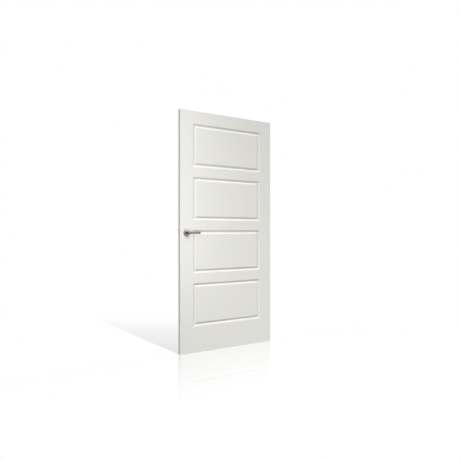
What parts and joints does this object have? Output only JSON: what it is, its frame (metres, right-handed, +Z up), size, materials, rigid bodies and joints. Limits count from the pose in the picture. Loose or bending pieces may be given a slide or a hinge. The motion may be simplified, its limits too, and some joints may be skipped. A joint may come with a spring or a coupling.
{
  "type": "interior door leaf",
  "caption": "White flush-hung interior door leaf with stacked grooved panels, lever handles, mortise latch and butt hinges.",
  "frame": {"origin": "middle of the leaf's bottom edge, at half its width and half its thickness", "axes": "+X along the width from the lock edge to the hinge edge, +Y through the thickness towards the side it opens to, +Z up"},
  "size_m": [0.9495, 0.154, 2.115],
  "materials": {
    "white_lacquer": "satin white lacquer over primed fibreboard",
    "white_faceplate": "white powder coat",
    "softwood": "planed pine, unfinished inside and lacquered at the edges",
    "chipboard": "raw chipboard",
    "satin_nickel": "satin brushed",
    "satin_steel": "satin stainless steel",
    "bright_steel": "polished steel",
    "zinc_plate": "zinc plated sheet",
    "spring_steel": "oiled spring steel",
    "black_steel": "blackened steel",
    "nylon": "black glass-filled nylon"
  },
  "bodies": {
    "hinge_fixed_side": {"bottom_hinge_jamb_plate": "satin_steel", "bottom_hinge_pin": "bright_steel", "bottom_hinge_bearings": "bright_steel", "middle_hinge_jamb_plate": "satin_steel", "middle_hinge_pin": "bright_steel", "middle_hinge_bearings": "bright_steel", "top_hinge_jamb_plate": "satin_steel", "top_hinge_pin": "bright_steel", "top_hinge_bearings": "bright_steel"},
    "leaf": {"front_board": "white_lacquer", "rear_board": "white_lacquer", "lock_stile": "softwood", "hinge_stile": "softwood", "top_rail": "softwood", "bottom_rail": "softwood", "lock_block": "softwood", "core": "chipboard", "lock_case": "zinc_plate", "lock_cover": "zinc_plate", "faceplate": "white_faceplate", "faceplate_screws": "satin_steel", "latch_spring": "spring_steel", "return_spring": "spring_steel", "rose_sleeves": "zinc_plate", "rose_bolts": "zinc_plate", "front_rose_cover": "satin_nickel", "front_rose_base": "nylon", "front_neck_bush": "nylon", "rear_rose_cover": "satin_nickel", "rear_rose_base": "nylon", "rear_neck_bush": "nylon", "bottom_hinge_door_plate": "satin_steel", "bottom_hinge_screws": "satin_steel", "middle_hinge_door_plate": "satin_steel", "middle_hinge_screws": "satin_steel", "top_hinge_door_plate": "satin_steel", "top_hinge_screws": "satin_steel"},
    "handle": {"front_lever": "satin_nickel", "rear_lever": "satin_nickel", "front_grub_screw": "black_steel", "rear_grub_screw": "black_steel", "spindle": "zinc_plate", "follower": "zinc_plate"},
    "bolt": {"latch_bolt": "bright_steel"}
  },
  "joints": [
    {"name": "door_swing", "type": "hinge", "parent": "hinge_fixed_side", "child": "leaf", "pos_m": [0.466, 0.028, 1.0575], "axis": [0, 0, -1], "range_deg": [0, 180]},
    {"name": "lever_turn", "type": "hinge", "parent": "leaf", "child": "handle", "pos_m": [-0.405, 0, 1.05], "axis": [0, 1, 0], "range_deg": [0, 40], "stiffness_Nm_per_rad": 1.2, "springref_deg": -45.84, "deforming": ["return_spring"]},
    {"name": "bolt_slide", "type": "slide", "parent": "leaf", "child": "bolt", "axis": [1, 0, 0], "range_m": [0, 0.0115], "deforming": ["latch_spring"]}
  ],
  "couplings": [
    {"joint": "bolt_slide", "follows": "lever_turn", "m_per_rad": 0.01647}
  ]
}
